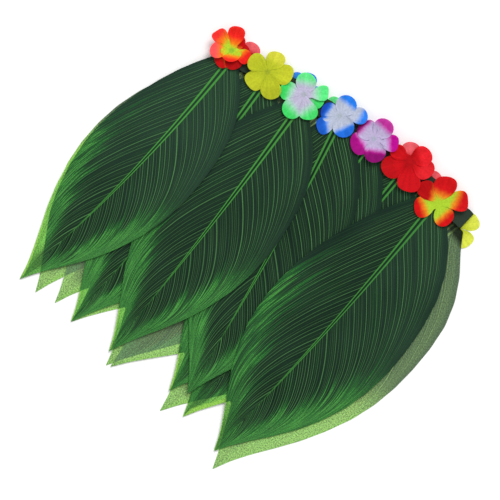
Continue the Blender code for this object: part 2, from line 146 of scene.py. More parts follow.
BACK_BLOSSOMS = (
    Blossom("blossom_back_1", -149, 1, "scarlet", "petal_red", even_petals(96, 24, 21, pale=0.75), "floor"),
    Blossom("blossom_back_2", -70, 0, "blue", "petal_blue", (
        Petal(100, 28, 20, 0, 0.20, 0.0, 0.0, 0.30, 0.3), Petal(147, 27, 20, 0, 0.25, 0.0, 0.1, 0.30, 0.3),
        Petal(217, 26, 21, 0, 0.40, 0.0, 0.3, 0.20, 0.3), Petal(287, 26, 21, 0, 0.40, 0.0, 0.3, 0.20, 0.3),
        Petal(31, 26, 21, 0, 0.40, 0.0, 0.2, 0.20, 0.3)), "floor"),
    Blossom("blossom_back_3", -27, -4, "green", "petal_green",
            even_petals(100, 25, 21, start=0.35, deep=0.1), "floor"),
    Blossom("blossom_back_4", 12, -1, "magenta", "petal_magenta", even_petals(126, 24, 21), "floor"),
    Blossom("blossom_back_5", 61, 0, "yellow", "petal_yellow", even_petals(54, 20, 18), "floor"),
    Blossom("blossom_back_6", 114, -4, "scarlet", "petal_red", even_petals(72, 25, 21, pale=0.7), "floor"),
    Blossom("blossom_back_7", 174, -14, "lemon", "petal_yellow",
            even_petals(339, 29, 21, deep=0.1, pale=0.2), "floor"),
)
FRONT_BLOSSOMS = (
    Blossom("blossom_front_7", 140, -8, "sunset", "petal_red_lime", (
        Petal(165, 32, 22, 5, 0.36, 0.35, 0.8, 0.0, 0.5), Petal(104, 35, 26, 11, 0.34, 0.0, 0.1, 0.10, 1.5),
        Petal(42, 37, 24, 10, 0.62, -0.30, 0.2, 0.10, 1.0), Petal(330, 28, 24, 3, 0.62, 0.25, 0.3, 0.0, 0.4),
        Petal(226, 30, 24, 4, 0.62, 0.10, 0.3, 0.0, 0.4)), "leaf_front_7"),
    Blossom("blossom_front_6_under", 81, 9, "scarlet", "petal_red", (
        Petal(118, 24, 22, 8, 0.3, 0.0, 0.0, 0.75, 0.5), Petal(46, 23, 20, 2, 0.4, 0.0, 0.3, 0.1),
        *like_petals((190, 262, 334), 23, 20, 2, 0.4, 0.0, 0.6)), "leaf_front_6"),
    Blossom("blossom_front_6", 81, 9, "scarlet", "petal_red", (
        Petal(234, 34, 27, 4, 0.4, 0.0, 0.75, 0.0, 0.3), Petal(302, 37, 27, 5, 0.4, 0.0, 0.60, 0.0, 0.3),
        Petal(5, 32, 24, 6, 0.4, 0.0, 0.35, 0.05, 0.3), Petal(55, 28, 24, 10, 0.4, 0.0, 0.0, 0.06, 0.5),
        Petal(178, 26, 18, 8, 0.4, 0.0, 0.6, 0.0, 0.3)), "blossom_front_6_under"),
    Blossom("blossom_front_5", 31, 4, "magenta", "petal_magenta", (
        Petal(82, 28, 24, 12, 0.62, 0.0, 0.0, 0.10, 1.0), Petal(21, 30, 20, 9, 0.62, 0.15, 0.2, 0.0, 0.8),
        Petal(309, 28, 25, 10, 0.50, -0.20, 0.7, 0.0, 0.8), Petal(232, 30, 26, 8, 0.46, 0.25, 0.5, 0.0, 0.6),
        Petal(162, 25, 24, 9, 0.70, 0.20, 1.0, 0.0, 0.8)), "leaf_front_5"),
    Blossom("blossom_front_4", -18, 3, "blue", "petal_blue", (
        Petal(93, 27, 25, 5, 0.64, -0.10, 0.0, 0.0, 0.5), Petal(35, 33, 20, 4, 0.78, -0.25, 0.1, 0.05, 0.4),
        Petal(322, 26, 25, 5, 0.60, 0.15, 0.4, 0.0, 0.4), Petal(246, 31, 20, 3, 0.58, -0.22, 0.6, 0.0, 0.4),
        Petal(198, 24, 22, 3, 0.62, -0.30, 0.8, 0.0, 0.3)), "leaf_front_4"),
    Blossom("blossom_front_3_under", -68, 1, "green", "petal_green", (
        Petal(10, 26, 20, 1, 0.40, 0.0, 0.5), Petal(82, 16, 16, 1, 0.80),
        *like_petals((154, 226, 298), 17, 16, 1, 0.80)), "leaf_front_3"),
    Blossom("blossom_front_3", -68, 1, "green", "petal_green", (
        Petal(113, 26, 24, 5, 0.58, 0.0, 0.0, 0.30, 0.4), Petal(38, 30, 18, 4, 0.52, 0.0, 0.0, 0.10, 0.3),
        Petal(319, 32, 22, 3, 0.62, 0.20, 0.5, 0.0, 0.6), Petal(265, 33, 24, 3, 0.66, -0.10, 0.6, 0.0, 0.4),
        Petal(202, 29, 22, 3, 0.58, -0.10, 0.7, 0.0, 0.4)), "blossom_front_3_under"),
    Blossom("blossom_front_1_under", -169, 4, "sunset", "petal_red_orange", (
        Petal(257, 25, 20, 2, 0.45, -0.35, 0.6, 0.0, 0.3), Petal(316, 23, 20, 2, 0.25, 0.0, 0.8, 0.0, 0.3),
        Petal(25, 22, 20, 1, 0.30, 0.0, 0.6), Petal(95, 22, 20, 2, 0.30, 0.0, 0.3),
        Petal(175, 22, 20, 2, 0.30, 0.0, 0.3, 0.2)), "leaf_front_1"),
    Blossom("blossom_front_1", -169, 4, "flame", "petal_red_orange", (
        Petal(163, 30, 18, 12, 0.58, 0.10, 0.0, 0.10, 1.6), Petal(108, 29, 20, 12, 0.36, 0.0, 0.0, 0.0, 1.6),
        Petal(213, 26, 19, 10, 0.55, 0.0, 0.0, 0.45, 1.5), Petal(293, 14, 24, 8, 0.55, 0.0, 0.1, 0.0, 1.0),
        Petal(10, 25, 17, 5, 0.50, -0.30, 0.4, 0.0, 0.5)), "blossom_front_1_under"),
    Blossom("blossom_front_2", -119, 2, "yellow", "petal_yellow", (
        Petal(92, 28, 22, 4, 0.5, 0.0, 0.0, 0.60, 0.4), Petal(175, 28, 22, 3, 0.5, 0.0, 0.3, 0.0, 0.4),
        Petal(249, 30, 23, 3, 0.5, 0.0, 0.35, 0.0, 0.3), Petal(314, 33, 24, 3, 0.5, 0.0, 0.70, 0.0, 0.3),
        Petal(25, 31, 24, 3, 0.5, 0.0, 0.10, 0.0, 0.4)), "leaf_front_2"),
)

# Dyes of the petal cloth: at the eye, between, at the tip, the deeper dye that is partly painted shade, the
# paler tone of painted light through the thin cloth, and the pressed spot; run is the share of a petal over
# which the dye fades out.
Dye = namedtuple("Dye", "name eye middle tip deep pale spot run")
DYES = (
    Dye("flame", "#B0D42E", "#F27A16", "#FC2A22", "#C00A0A", "#FF7076", "#7AB236", 0.34),
    Dye("sunset", "#A8CC30", "#E67C1C", "#D60C10", "#A0060A", "#E83840", "#A8CC30", 0.26),
    Dye("yellow", "#AEB826", "#B8C028", "#C2C72C", "#9EA81E", "#E2DE4A", "#909C28", 0.30),
    Dye("lemon", "#BAC62E", "#C4CE34", "#D6E04A", "#A6B222", "#E6E65A", "#8CA82E", 0.30),
    Dye("green", "#B8B2CC", "#A0D2B8", "#56E47C", "#24C048", "#80F4A2", "#9CA4AA", 0.30),
    Dye("blue", "#B2BACE", "#8CA8E0", "#267EEC", "#0A2494", "#5698F0", "#A0ACB4", 0.16),
    Dye("magenta", "#B8ACCE", "#C488C6", "#CC0E9E", "#48023A", "#DCA8DA", "#A0A8B8", 0.18),
    Dye("scarlet", "#A8060D", "#C40A14", "#EE1420", "#9E050B", "#F8747C", "#B20A12", 0.30),
)

# ================================================================ settings


def linear(code):
    """Linear RGB of an sRGB hex colour."""
    shares = [int(code[k:k + 2], 16) / 255 for k in (1, 3, 5)]
    return tuple(c / 12.92 if c <= 0.04045 else ((c + 0.055) / 1.055) ** 2.4 for c in shares)


def size_setting(name, description, default):
    """A length that a user would change, in metres."""
    return bpy.props.FloatProperty(name=name, description=description, default=default, unit="LENGTH")


def colour_setting(name, description, code):
    """A colour that a user would change, from its sRGB hex code."""
    return bpy.props.FloatVectorProperty(
        name=name, description=description, default=linear(code), size=3, subtype="COLOR")


class SkirtLeafSettings(bpy.types.PropertyGroup):
    thickness: size_setting("Cloth thickness", "Thickness of the leaf cloth", 0.45 * MM)
    rows: bpy.props.IntProperty(
        name="Rows", description="Grid cells along a leaf", default=96, min=16)
    columns: bpy.props.IntProperty(
        name="Columns", description="Grid cells across a leaf", default=60, min=12)
    wave: size_setting("Wave", "Height of the soft waves of the cloth", 0.22 * MM)
    rib_height: size_setting("Midrib height", "Height of the two pressed midrib lines", 0.3 * MM)
    vein_spacing: size_setting(
        "Vein spacing", "Spacing of the printed side veins along the midrib", 9.9 * MM)
    thread: size_setting(
        "Thread spacing", "Spacing of the threads, drawn coarser than real so that it shows", 0.9 * MM)
    ground: colour_setting("Ground", "Dark ground of the print", "#0B1F16")
    ground_light: colour_setting("Light ground", "Lighter places of the ground", "#1F362A")
    vein: colour_setting("Vein", "Printed side veins", "#5C9454")
    rib: colour_setting("Midrib", "Printed midrib lines", "#448E3A")
    glow: colour_setting("Green", "Green towards the margins", "#21722A")
    glow_bright: colour_setting("Bright green", "Brightest green at the margins", "#4A9440")
    lime: colour_setting("Lime", "Lime edge of the print", "#678F3A")
    reverse_ground: colour_setting("Reverse ground", "Ground as it shows on the reverse", "#495F48")
    reverse_light: colour_setting("Reverse light", "Lighter places on the reverse", "#54694E")
    reverse_vein: colour_setting("Reverse vein", "Side veins as they show on the reverse", "#90B06C")
    reverse_glow: colour_setting("Reverse green", "Green as it shows on the reverse", "#558C62")
    reverse_lime: colour_setting("Reverse lime", "Lime as it shows on the reverse", "#5C884E")
    through_face: colour_setting(
        "Light through the face", "What a white floor adds to the green print from below", "#66923A")
    through_reverse: colour_setting(
        "Light through the reverse", "What a white floor adds to the reverse of the green", "#6C8C38")


class SkirtBlossomSettings(bpy.types.PropertyGroup):
    thickness: size_setting("Cloth thickness", "Thickness of the petal cloth", 0.4 * MM)
    eye: size_setting("Eye", "Radius inside which the petals are one cloth", 6.5 * MM)
    spot: size_setting("Spot", "Radius of the pressed spot in the middle", 3.6 * MM)
    crinkle: size_setting("Crinkle", "Height of the fine pleats along a petal", 0.16 * MM)
    ruffle: size_setting("Ruffle", "Height of the waves of a petal's edge", 0.45 * MM)
    thread: size_setting(
        "Thread spacing", "Spacing of the threads, drawn coarser than real so that it shows", 0.7 * MM)


class SkirtBandSettings(bpy.types.PropertyGroup):
    thickness: size_setting("Ribbon thickness", "Thickness of the ribbon", 0.6 * MM)
    rib: size_setting("Rib spacing", "Spacing of the ribs across the ribbon", 1.1 * MM)
    colour: colour_setting("Ribbon", "Colour of the ribbon", "#28362A")


class SkirtStageSettings(bpy.types.PropertyGroup):
    picture_width: size_setting("Picture width", "Width of the floor that the picture takes in", 600 * MM)
    picture_turn: bpy.props.FloatProperty(
        name="Picture turn", description="Turn of the picture against the waist", default=math.radians(35),
        unit="ROTATION")
    picture_middle: bpy.props.FloatVectorProperty(
        name="Picture middle", description="Place on the floor in the middle of the picture",
        default=(-1.8 * MM, 10.1 * MM), size=2, unit="LENGTH")
    lens: bpy.props.FloatProperty(
        name="Lens", description="Focal length in millimetres", default=250)
    floor: colour_setting("Floor", "Colour of the floor", "#FAFAFA")
    sky: bpy.props.FloatProperty(
        name="Fill", description="Strength of the even light from all round", default=0.66)
    key: bpy.props.FloatProperty(
        name="Key", description="Strength of the soft lamp", default=2.0)
    key_size: bpy.props.FloatProperty(
        name="Key size", description="Angle that the soft lamp takes up", default=math.radians(30),
        unit="ROTATION")


# ================================================================ materials

MIX_A, MIX_B, MIX_OUT = 6, 7, 2        # colour sockets of a Mix node
WAVE_PERIOD = math.pi / 10             # period of a Wave texture's bands at scale 1
RELIEF = 0.12 * MM                     # height of the weave and the pressed lines in the surface

SEWN_END = (9 * MM, 17 * MM)           # how far down a leaf the shade under the blossoms fades out
SEWN_SHADE = 0.12                      # what that shade leaves of the cloth's colour
LAYER_EDGE = 0.5                       # half the soft step at the margin of the leaf below, in millimetres
VEIN_DRIFT = 0.9                       # how far the veins stray from even spacing, in spacings
VEIN_HALF = 0.42                       # half width of a side vein, in millimetres
VEIN_HALF_BETWEEN = 0.38               # half width of the fainter ones between
VEINS_FADE = (0.6, 2.2)                # spacings in millimetres between which crowded veins fade
FLOW_STRENGTH = 0.04                   # how strongly the streaks lighten the ground
BROAD_PLACES = 14.0                    # paler places of the ground, to the metre
FLECKS = 620.0                         # flecks of the print, to the metre
FACE_GRAIN, REVERSE_GRAIN = 0.22, 0.62     # how strongly flecks and weave show on either side of the cloth
PETAL_MOTTLE = 420.0                   # mottle of the petals, to the metre
PETAL_BLEED = 160.0                    # ragged edge of the dye, to the metre
PETAL_PLEATS = (6.0, 30.0, 1.0)        # pleats to a half petal, and how they change out along it
RIBBON_FLUFF = 500.0                   # fluff of the ribbon, to the metre


def set_inputs(tree, node, inputs):
    """Fills in a node's inputs: a socket is linked, anything else is the input's value."""
    for name, value in inputs.items():
        if isinstance(value, bpy.types.NodeSocket):
            tree.links.new(value, node.inputs[name])
        else:
            node.inputs[name].default_value = value


def add_node(tree, kind, *values, inputs=None, output=0, **settings):
    """Adds a node with its settings and links, and returns one of its outputs.

    The values go to its inputs in their order: a Map Range has the value, then from and to as low and high.
    The inputs are those that go by name or number.
    """
    node = tree.nodes.new("ShaderNode" + kind)
    for name, value in settings.items():
        setattr(node, name, value)
    set_inputs(tree, node, {**dict(enumerate(values)), **(inputs or {})})
    return node.outputs[output]


def new_material(name):
    """An empty material with its node tree and Principled shader."""
    material = bpy.data.materials.new(name)
    material.use_nodes = True
    tree = material.node_tree
    return material, tree, tree.nodes["Principled BSDF"]


def rgba(colour):
    """A colour with full alpha."""
    return (*colour[:3], 1.0)


def woven_height(add, cut, spacing, uneven):
    """Height of a weave, from 0 to 1: threads both ways, and how unevenly they lie."""
    threads = [
        add("TexWave", inputs={"Vector": cut, "Scale": WAVE_PERIOD / spacing, **uneven}, output="Fac",
            bands_direction=way)
        for way in ("X", "Y")
    ]
    return add("Math", *threads, operation="MULTIPLY")


def side_veins(add, field):
    """How strongly the side veins are drawn: unevenly spaced, and each with its own brightness.

    Between them run fainter ones that the green brings out.
    """
    drift = add("TexNoise", inputs={"W": field["vein"], "Scale": 0.6, "Detail": 0.0}, noise_dimensions="1D")
    count = add("Math", drift, VEIN_DRIFT, field["vein"], operation="MULTIPLY_ADD")
    lines = []
    between = (2.0, VEIN_HALF_BETWEEN, 0.35, field["brought"])
    for times, half_width, faintest, strong in ((1.0, VEIN_HALF, 0.4, 1.0), between):
        place = add("Math", count, times, operation="MULTIPLY")
        away = add("Math", place, 0.5, operation="PINGPONG")
        gap = add("Math", field["vein_gap"], times, operation="DIVIDE")
        away = add("Math", away, gap, operation="MULTIPLY")
        line = add("MapRange", away, 0.2 * half_width, half_width, 1.0, 0.0, interpolation_type="SMOOTHSTEP")
        number = add("Math", place, operation="ROUND")
        chance = add("TexWhiteNoise", inputs={"W": number}, noise_dimensions="1D")
        bright = add("MapRange", chance, 0.0, 1.0, faintest)
        bright = add("Math", bright, strong, operation="MULTIPLY")
        apart = add("MapRange", gap, *VEINS_FADE, 0.3)
        bright = add("Math", bright, apart, operation="MULTIPLY")
        lines.append(add("Math", line, bright, operation="MULTIPLY"))
    drawn = add("Math", *lines, operation="MAXIMUM")
    return add("Math", drawn, field["vein_strength"], operation="MULTIPLY")


def vein_streaks(add, field):
    """Streaks that run with the side veins, broad and fine."""
    streaks = []
    for across_vein, down_vein, low, high in ((1.4, 3.0, 0.38, 0.62), (4.0, 8.0, 0.39, 0.61)):
        flow = add("CombineXYZ", field["flow"], field["along"])
        flow = add("VectorMath", flow, (across_vein, down_vein, 1.0), operation="MULTIPLY")
        streak = add("TexNoise", inputs={"Vector": flow, "Scale": 1.0, "Detail": 2.0, "Roughness": 0.6})
        streaks.append(add("MapRange", streak, low, high, interpolation_type="SMOOTHSTEP"))
    return streaks


def leaf_cloth_material(name, settings, ground, ground_light, vein, rib, glow, glow_bright, lime, through,
                        grain):
    """Printed polyester leaf cloth: matt, with a faint sheen from its size and a fine even weave."""
    material, tree, shader = new_material(name)
    add = partial(add_node, tree)
    field = {
        key: add("Attribute", output="Fac", attribute_name=key)
        for key in ("vein", "vein_gap", "vein_strength", "flow", "rib_offset", "rib_strength", "glow", "lime",
                    "light_ground", "along", "brought", "open", "below")
    }
    cut = add("UVMap", uv_map="cut")
    drawn = side_veins(add, field)
    streak, fine_streak = vein_streaks(add, field)
    broad = add("TexNoise", inputs={"Vector": cut, "Scale": BROAD_PLACES, "Detail": 2.0})
    paler = add("Math", field["light_ground"], broad, operation="ADD", use_clamp=True)
    flowing = add("Math", fine_streak, field["vein_strength"], operation="MULTIPLY")
    flowing = add("Math", flowing, FLOW_STRENGTH, operation="MULTIPLY")

    # where no other leaf lies below, apart from the sewn end
    place = add("SeparateXYZ", cut, output="Y")
    # painted shade at the sewn end, where the blossoms and the ribbon lie over it
    sewn_end_shade = add("MapRange", place, *SEWN_END, SEWN_SHADE)
    single = add("MapRange", field["below"], -LAYER_EDGE, LAYER_EDGE, 1.0, 0.0,
                 interpolation_type="SMOOTHSTEP")
    single = add("Math", single, sewn_end_shade, operation="MULTIPLY")

    # the green, which reaches in along the broad streaks and breaks up into the fine ones
    reach = add("Math", streak, 0.9, -0.82, operation="MULTIPLY_ADD")
    reach = add("Math", field["glow"], 1.45, reach, operation="MULTIPLY_ADD", use_clamp=True)
    fine = add("MapRange", fine_streak, 0.0, 1.0, 0.1, 1.35)
    fleck = add("TexNoise", inputs={"Vector": cut, "Scale": FLECKS, "Detail": 1.0})
    speck = add("MapRange", fleck, 0.3, 0.7, 0.5, 1.4)
    printed = add("MapRange", fleck, 0.3, 0.7, 1.0 - grain, 1.0 + 0.6 * grain)
    fine = add("Math", fine, printed, operation="MULTIPLY")
    green = add("Math", reach, fine, operation="MULTIPLY", use_clamp=True)
    most = add("MapRange", green, 0.6, 1.1, interpolation_type="SMOOTHSTEP")

    # the lime edge and the two midrib lines
    ragged = add("Math", fleck, 0.9, -0.45, operation="MULTIPLY_ADD")
    edge = add("Math", field["lime"], ragged, operation="ADD")
    edge = add("MapRange", edge, 0.1, 0.95, interpolation_type="SMOOTHSTEP")
    edge = add("Math", edge, single, operation="MULTIPLY")
    off = add("Math", field["rib_offset"], operation="ABSOLUTE")
    rib_line = add("MapRange", off, 0.6, 1.1, 1.0, 0.0, interpolation_type="SMOOTHSTEP")
    rib_line = add("Math", rib_line, field["rib_strength"], operation="MULTIPLY")

    colour = rgba(ground)
    for share, tone in ((paler, ground_light), (flowing, vein), (green, glow), (most, glow_bright),
                        (drawn, vein), (edge, lime), (rib_line, rib)):
        colour = add("Mix", inputs={0: share, MIX_A: colour, MIX_B: rgba(tone)}, output=MIX_OUT,
                     data_type="RGBA")

    weave = woven_height(add, cut, settings.thread, {"Distortion": 1.2, "Detail": 1.0, "Detail Scale": 1.5})
    spots = add("Math", fleck, 3.0, weave, operation="MULTIPLY_ADD")
    light = add("MapRange", spots, 0.55, 2.95, 1.0 - grain, 1.0 + grain)
    # painted light: a single layer of the thin cloth is drawn lighter by what comes back from the floor
    # through it
    lit = add("Math", field["open"], speck, operation="MULTIPLY", use_clamp=True)
    lit = add("Math", lit, single, operation="MULTIPLY")
    lit = add("VectorMath", through[:3], lit, operation="MULTIPLY")
    # the painted shade at the sewn end darkens the colour
    colour = add("VectorMath", colour, sewn_end_shade, operation="MULTIPLY")
    colour = add("VectorMath", colour, lit, operation="ADD")
    colour = add("VectorMath", colour, light, operation="MULTIPLY")

    relief = add("Math", drawn, 1.5, weave, operation="MULTIPLY_ADD")
    relief = add("Math", rib_line, 2.0, relief, operation="MULTIPLY_ADD")
    normal = add("Bump", inputs={"Height": relief, "Strength": 0.5, "Distance": RELIEF})
    set_inputs(tree, shader, {"Base Color": colour, "Normal": normal, "Roughness": 0.62,
                              "Specular IOR Level": 0.06, "Sheen Weight": 0.01, "Sheen Roughness": 0.5})
    return material


def petal_cloth_material(name, dye, settings):
    """Dip-dyed polyester petal cloth: thin, matt, heat-pressed into fine pleats that run to the eye."""
    material, tree, shader = new_material(name)
    add = partial(add_node, tree)
    field = {
        key: add("Attribute", output="Fac", attribute_name=key)
        for key in ("dye", "deep", "pale", "radius", "fan", "shade_between_petals")
    }
    cut = add("UVMap", uv_map="cut")
    bleed = add("TexNoise", inputs={"Vector": cut, "Scale": PETAL_BLEED, "Detail": 2.0})
    wet = add("Math", bleed, 0.16, field["dye"], operation="MULTIPLY_ADD")
    wet = add("Math", wet, 0.08, operation="SUBTRACT")
    tip = add("MapRange", wet, -0.5 * dye.run, 0.25, interpolation_type="SMOOTHSTEP")
    rim = settings.spot
    spot = add("MapRange", field["radius"], 0.5 * rim, 1.3 * rim, 0.7, 0.0, interpolation_type="SMOOTHSTEP")
    layers = [
        (add("MapRange", wet, low * dye.run, high * dye.run, interpolation_type="SMOOTHSTEP"), tone)
        for low, high, tone in ((-1.0, 0.0, dye.middle), (-0.3, 0.8, dye.tip))
    ]
    # towards the tip: the deeper dye with its painted shade, and the paler tone of painted light
    layers += [
        (add("Math", tip, field[key], operation="MULTIPLY"), tone)
        for key, tone in (("deep", dye.deep), ("pale", dye.pale))
    ]
    colour = rgba(linear(dye.eye))
    for share, tone in (*layers, (spot, dye.spot)):
        colour = add("Mix", inputs={0: share, MIX_A: colour, MIX_B: rgba(linear(tone))}, output=MIX_OUT,
                     data_type="RGBA")

    # painted shade and light along fine pleats that run from the eye to the edge, with a mottle; the pleats
    # also go into the bump
    fan = add("CombineXYZ", field["fan"], field["radius"])
    fan = add("VectorMath", fan, PETAL_PLEATS, operation="MULTIPLY")
    pleat = add("TexNoise", inputs={"Vector": fan, "Scale": 1.0, "Detail": 2.0})
    mottle = add("TexNoise", inputs={"Vector": cut, "Scale": PETAL_MOTTLE, "Detail": 2.0})
    uneven = add("Math", pleat, 1.2, mottle, operation="MULTIPLY_ADD")
    light = add("MapRange", uneven, 0.75, 1.45, 0.82, 1.12)
    # painted shade in the notches between the petals, near the eye
    shade_between_petals = add("MapRange", field["shade_between_petals"], 0.0, 1.0, 1.0, 0.62)
    light = add("Math", light, shade_between_petals, operation="MULTIPLY")
    colour = add("VectorMath", colour, light, operation="MULTIPLY")
    weave = woven_height(add, cut, settings.thread, {"Distortion": 0.6})
    relief = add("Math", uneven, 2.5, weave, operation="MULTIPLY_ADD")
    normal = add("Bump", inputs={"Height": relief, "Strength": 0.5, "Distance": RELIEF})
    set_inputs(tree, shader, {"Base Color": colour, "Normal": normal, "Roughness": 0.6,
                              "Specular IOR Level": 0.06, "Sheen Weight": 0.01, "Sheen Roughness": 0.4})
    return material


def ribbon_material(settings):
    """Woven ribbon: dark, matt, with ribs across it."""
    material, tree, shader = new_material("woven ribbon")
    add = partial(add_node, tree)
    cut = add("UVMap", uv_map="cut")
    across = {"Vector": cut, "Scale": WAVE_PERIOD / settings.rib, "Distortion": 0.8, "Detail": 2.0}
    ribs = add("TexWave", inputs=across, output="Fac", bands_direction="X")
    fluff = add("TexNoise", inputs={"Vector": cut, "Scale": RIBBON_FLUFF, "Detail": 3.0})
    light = add("Math", ribs, 0.25, fluff, operation="MULTIPLY_ADD")
    light = add("MapRange", light, 0.3, 0.9, 0.8, 1.2)
    colour = add("VectorMath", settings.colour[:3], light, operation="MULTIPLY")
    normal = add("Bump", inputs={"Height": ribs, "Strength": 0.6, "Distance": 0.15 * MM})
    set_inputs(tree, shader, {"Base Color": colour, "Normal": normal, "Roughness": 0.85,
                              "Specular IOR Level": 0.2})
    return material


# ================================================================ cloth as height over the solids


def smooth(low, high, value):
    """0 below low, 1 above high and a soft step between."""
    share = np.clip((np.asarray(value, float) - low) / (high - low), 0, 1)
    return share * share * (3 - 2 * share)


def on_waist(station, lift):
    """Point at a distance along the waist line from its middle, and a distance outside it."""
    angle = station / WAIST_RADIUS
    radius = WAIST_RADIUS + lift
    return (WAIST_AT[0] + radius * math.sin(angle), WAIST_AT[1] + radius * math.cos(angle) - WAIST_RADIUS)


INWARD_SHARE = 0.015       # step towards the middle where a place misses the solid
INWARD_STEPS = 30


class Solid:
    """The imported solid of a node, felt from above or from below."""

    def __init__(self, node):
        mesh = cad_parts[node].data
        self.node = node
        self.tree = BVHTree.FromPolygons(
            [v.co for v in mesh.vertices], [tuple(face.vertices) for face in mesh.polygons])

    def height(self, x, y, toward, up=False):
        """Height of the solid's upper or lower face at a place, or a little further in if that misses it."""
        start, way = (-1.0, 1.0) if up else (1.0, -1.0)
        for step in range(INWARD_STEPS):
            share = INWARD_SHARE * step
            spot = Vector((x + (toward[0] - x) * share, y + (toward[1] - y) * share, start))
            hit = self.tree.ray_cast(spot, Vector((0, 0, way)))[0]
            if hit is not None:
                return hit.z
        raise RuntimeError(f"{self.node}: its cloth reaches outside its solid at {x:.4f}, {y:.4f}")


def soften(heights, rounds):
    """Takes the corners out of a grid of heights and leaves its broad form."""
    for _ in range(rounds):
        for axis in (0, 1):
            wide = np.pad(heights, [(1, 1) if a == axis else (0, 0) for a in (0, 1)], mode="edge")
            before = np.take(wide, range(0, heights.shape[axis]), axis=axis)
            after = np.take(wide, range(2, heights.shape[axis] + 2), axis=axis)
            heights = heights / 2 + (before + after) / 4
    return heights


def add_grid(name, rows, columns):
    """A flat grid with its points in rows: along the leaf or out along the petal, and across."""
    bpy.ops.object.select_all(action="DESELECT")
    bpy.ops.mesh.primitive_grid_add(x_subdivisions=columns, y_subdivisions=rows, size=1, calc_uvs=False)
    thing = bpy.context.object
    thing.name = thing.data.name = name
    return thing


def set_points(thing, points):
    """Moves the points of a mesh to these places."""
    thing.data.vertices.foreach_set("co", np.asarray(points, float).reshape(-1))
    thing.data.update()


def set_field(thing, name, values):
    """Stores one number a point under a name that the materials read."""
    layer = thing.data.attributes.new(name, "FLOAT", "POINT")
    layer.data.foreach_set("value", np.asarray(values, np.float32).reshape(-1))


def set_cut(thing, across, along):
    """Stores the flat place of each point on its cloth, in metres, as the UV map 'cut'."""
    flat = np.stack((np.asarray(across).reshape(-1), np.asarray(along).reshape(-1)), axis=1)
    corners = np.empty(len(thing.data.loops), int)
    thing.data.loops.foreach_get("vertex_index", corners)
    layer = thing.data.uv_layers.new(name="cut")
    layer.data.foreach_set("uv", flat[corners].astype(np.float32).reshape(-1))


def thicken(thing, thickness, materials, other_side):
    """Gives the sheet its wall, its second face and rim in the other material, and smooth shading."""
    for material in materials:
        thing.data.materials.append(material)
    bpy.context.view_layer.objects.active = thing
    wall = thing.modifiers.new("wall", "SOLIDIFY")
    wall.thickness = thickness
    wall.offset = 0
    wall.material_offset = other_side
    wall.material_offset_rim = other_side
    bpy.ops.object.modifier_apply(modifier=wall.name)
    bpy.ops.object.shade_smooth_by_angle(angle=math.radians(50))


def declare(thing, node):
    """Ties the finished piece to the frame."""
    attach(thing, "root")
    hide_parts(node)


# ================================================================ leaves

RIB_APART = 3.0 * MM       # from the middle to each midrib line at the sewn end
RIB_HALF = 1.45 * MM       # half width of a midrib line there
RIB_PRESSED = 1.1 * MM     # half width of the pressed line
RIB_JOINS = 0.78           # share of the length at which the two lines become one
RIB_ENDS = 0.90
FACET_ROUNDS = 10          # softening of the solid's facets
TIP = 0.9985               # share of the length at which a leaf's grid ends, so that its tip has a width
CROWDING = 1.5             # above 1, the grid's columns lie closer together at the midrib
END_ROWS = 3               # rows at each end whose heights are felt from a place further in

# Where the print changes: shares of a leaf's length, or of its half width, between which it does so.
GREEN_LEFT = (0.22, 0.52)          # the green sets in on the left half, down the leaf
GREEN_RIGHT = (0.38, 0.70)         # on the right half
GREEN_RIGHT_BACK = (0.34, 0.80)    # on the right half of the leaves of the back
LATE_GREEN = 0.08                  # how much further down it sets in on the leaves of the back
GREEN_INNER = (0.48, 0.50)         # share of the half width at which it sets in, left and right
GREEN_INNER_DROP = 0.42            # how much further in that is near the tip
ALL_GREEN = (0.80, 0.97)           # a leaf turns green right across
PLAIN_MARGIN = (0.72, 0.95)        # across, the margin that stays dark further down
PLAIN_ENDS = (0.36, 0.52)          # down the leaf, that margin turns green as well
LIME_SETS_IN = (0.43, 0.54)
LIME_WIDENS = ((0.40, 0.70), (0.70, 0.93))
LIME_STEP = 1.5 * MM               # what each of the two adds to the width of a lime margin of strength 1
VEINS_FINER = (0.32, 0.60)         # the veins of the right half get finer

# Left and right: the angle of the side veins to the midrib in degrees and how much it falls to the tip, how
# strongly they are drawn, and where on the midrib those that are drawn begin.
VEIN_ANGLE = ((40, 24), (47, 16))
VEIN_STRENGTH = (0.63, 0.93)
VEINS_BEGIN = ((-60 * MM, -15 * MM), (-45 * MM, -10 * MM))
HALVES_APART = 300.0               # so that the two halves of a leaf aren't streaked alike

LOOSE_MARGINS = {          # how far the uncovered margins stand up, left and right, in millimetres
    "leaf_front_1": (0.3, 1.6),
    "leaf_front_3": (0.5, 1.6),
    "leaf_front_4": (0.0, 0.9),
    "leaf_front_5": (0.0, 0.5),
    "leaf_front_7": (1.2, 0.8),
}
# painted light and shade on the ground of the leaves
GROUND_LIGHT_AND_SHADE = {            # how much lighter or darker a leaf is at its sewn end, left and right half
    "leaf_front_1": (0.45, 0.45),
    "leaf_front_3": (-0.1, -0.1),
    "leaf_front_4": (-0.3, -0.3),
    "leaf_front_5": (-0.3, -0.3),
    "leaf_front_6": (-0.3, -0.3),
    "leaf_front_7": (-0.4, 0.05),
}
LIT_MARGIN = {            # how far in from a left margin the painted light from the floor and the lime edge reach over the leaves below, in millimetres
    "leaf_front_1": 3.2,
}
LIT_MARGIN_BEGINS, LIT_MARGIN_ENDS = (0.36, 0.60), (0.64, 0.80)    # down the leaf


def rib_gap(along):
    """Distance of each midrib line from the middle: they close up towards the tip."""
    return RIB_APART * np.clip(1 - along / RIB_JOINS, 0, 1) ** 0.85


